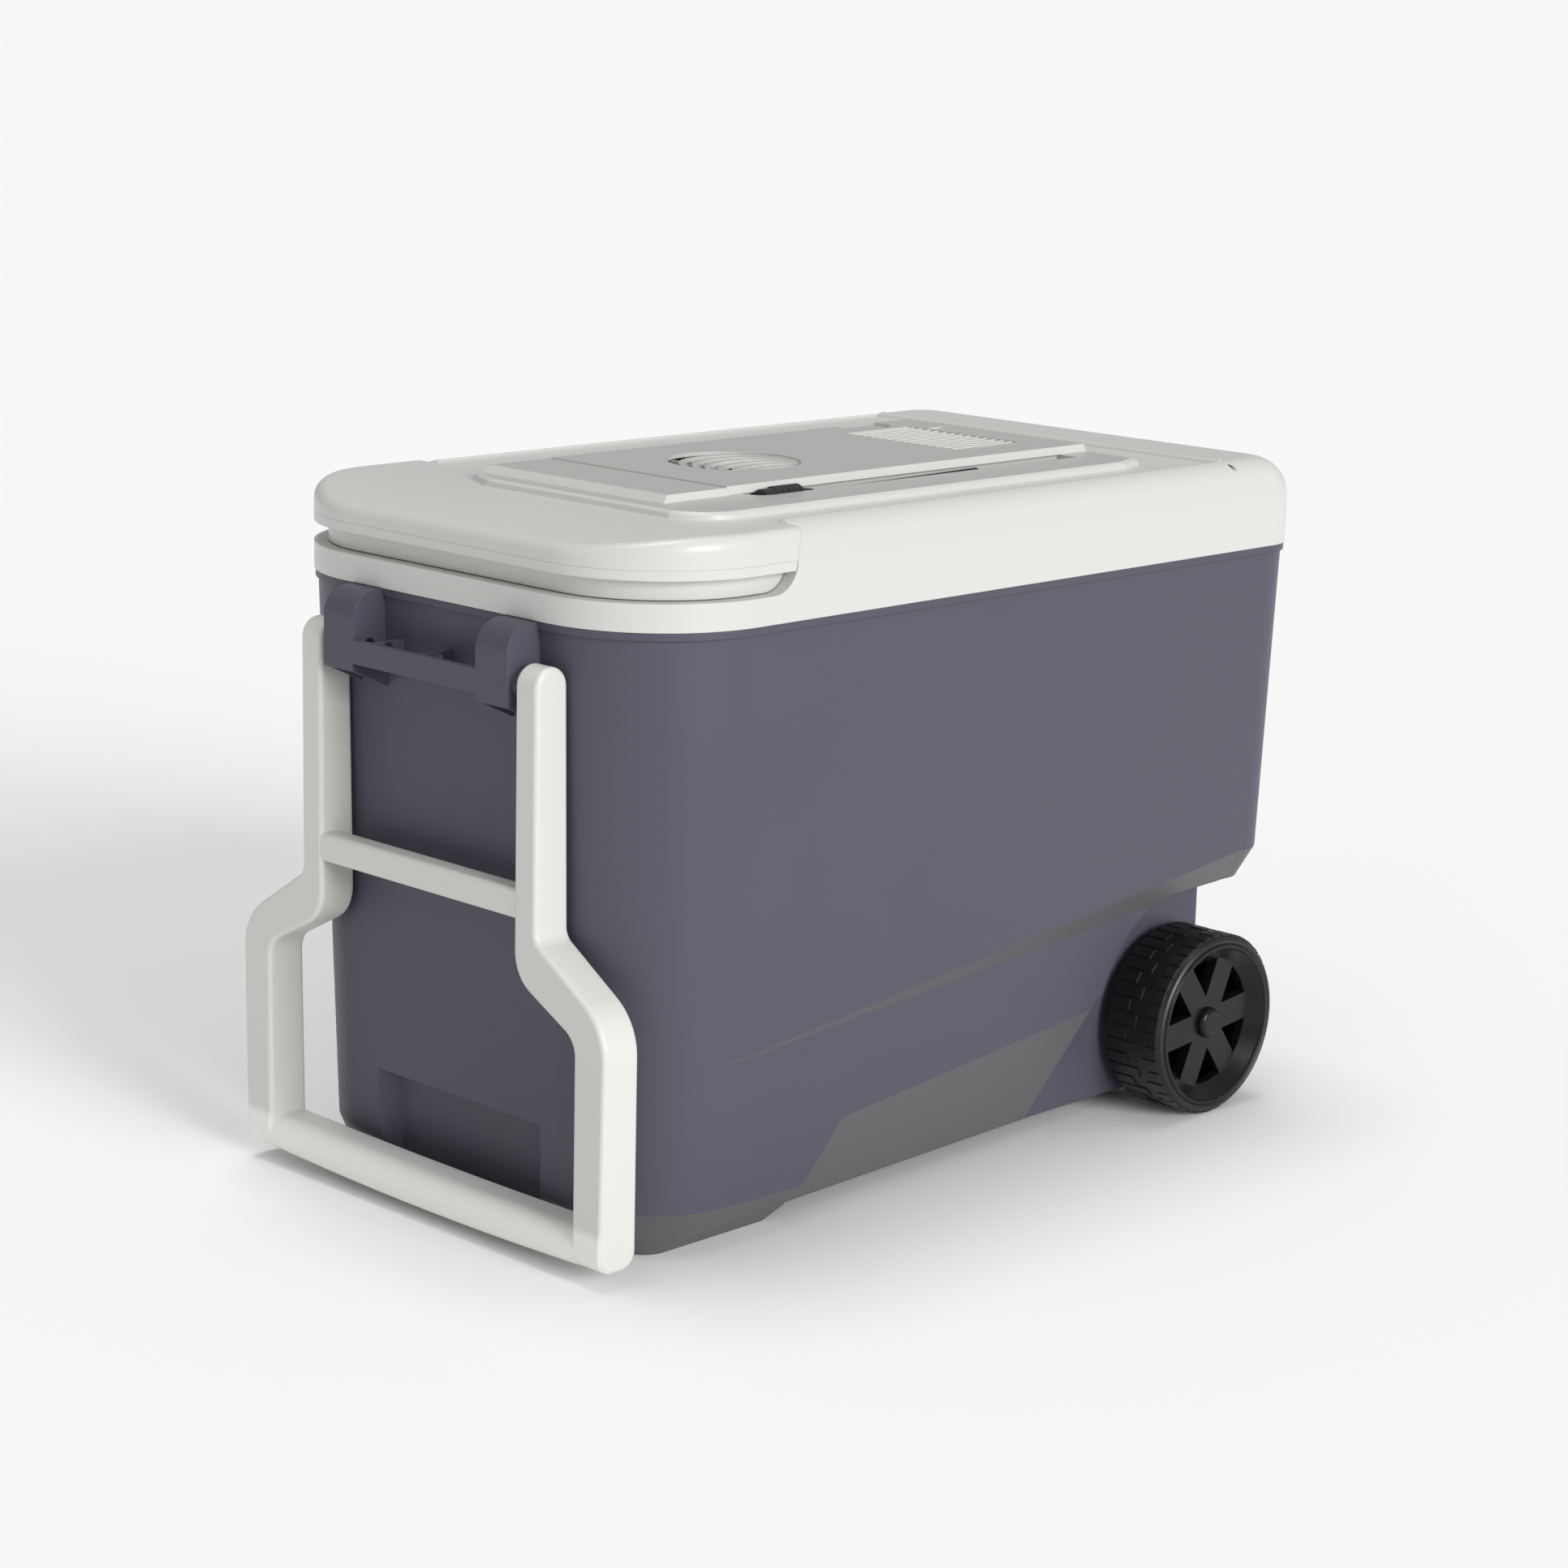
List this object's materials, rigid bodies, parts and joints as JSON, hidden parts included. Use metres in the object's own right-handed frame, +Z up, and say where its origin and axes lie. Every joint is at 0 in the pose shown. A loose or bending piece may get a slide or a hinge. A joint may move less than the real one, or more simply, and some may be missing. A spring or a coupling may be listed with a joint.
{
  "type": "wheeled electric cooler",
  "caption": "Wheeled electric cool box with a hinged lid, a vented cover with a stowed lead, a swing-out pull handle and a carry bracket.",
  "frame": {"origin": "on the floor, under the middle of the whole cooler's plan", "axes": "+X from the pull handle to the wheels, +Y across the cooler to its far side, +Z up"},
  "size_m": [0.639, 0.388, 0.4495],
  "materials": {
    "body_plastic": "moulded, fine grain, satin",
    "trim_plastic": "moulded, smooth, satin gloss",
    "black_plastic": "moulded, satin",
    "tread_plastic": "hard moulded tread, dull",
    "liner_plastic": "smooth food-safe liner",
    "foam": "rigid foam, sealed in",
    "seal_rubber": "soft seal",
    "fin_aluminium": "extruded, bare",
    "steel": "plated, drawn",
    "ceramic": "ceramic plates",
    "cord_jacket": "soft jacket, satin"
  },
  "bodies": {
    "tub": {"body_shell": "body_plastic", "body_foam": "foam", "inner_liner": "liner_plastic", "trim_collar": "trim_plastic", "hinge_pin": "steel", "carry_bracket": "body_plastic", "bracket_screws": "steel", "handle_pins": "steel", "axle": "steel", "axle_washers": "black_plastic", "push_nuts": "steel"},
    "lid": {"lid_shell": "trim_plastic", "lid_pan": "trim_plastic", "lid_foam": "foam", "lid_gasket": "seal_rubber", "lid_screws": "steel", "vent_cover": "trim_plastic", "hot_heat_sink": "fin_aluminium", "hot_fan_frame": "black_plastic", "fan_screws": "steel", "peltier_module": "ceramic", "cold_block": "fin_aluminium", "cold_heat_sink": "fin_aluminium", "cold_fan_frame": "black_plastic", "cold_fan_cover": "liner_plastic", "tray_screws": "steel", "power_cord": "cord_jacket", "lead_gland": "black_plastic", "power_plug": "black_plastic"},
    "warm_fan": {"hot_fan_rotor": "black_plastic"},
    "cold_fan": {"cold_fan_rotor": "black_plastic"},
    "handle": {"pull_handle": "trim_plastic"},
    "near_wheel": {"wheel_rim_near": "black_plastic", "wheel_tyre_near": "tread_plastic", "hub_cap_near": "black_plastic"},
    "far_wheel": {"wheel_rim_far": "black_plastic", "wheel_tyre_far": "tread_plastic", "hub_cap_far": "black_plastic"}
  },
  "joints": [
    {"name": "lid_hinge", "type": "hinge", "parent": "tub", "child": "lid", "pos_m": [0.25, 0, 0.4385], "axis": [0, 1, 0], "range_deg": [0, 100]},
    {"name": "handle_hinge", "type": "hinge", "parent": "tub", "child": "handle", "pos_m": [-0.3059, 0, 0.3504], "axis": [0, 1, 0], "range_deg": [0, 120]},
    {"name": "near_wheel_spin", "type": "hinge", "parent": "tub", "child": "near_wheel", "pos_m": [0.227, -0.17, 0.0625], "axis": [0, 1, 0], "continuous": true},
    {"name": "far_wheel_spin", "type": "hinge", "parent": "tub", "child": "far_wheel", "pos_m": [0.227, 0.17, 0.0625], "axis": [0, 1, 0], "continuous": true},
    {"name": "warm_fan_spin", "type": "hinge", "parent": "lid", "child": "warm_fan", "pos_m": [-0.0545, 0, 0.434], "axis": [0, 0, 1], "continuous": true},
    {"name": "cold_fan_spin", "type": "hinge", "parent": "lid", "child": "cold_fan", "pos_m": [-0.0545, 0, 0.371], "axis": [0, 0, 1], "continuous": true}
  ]
}
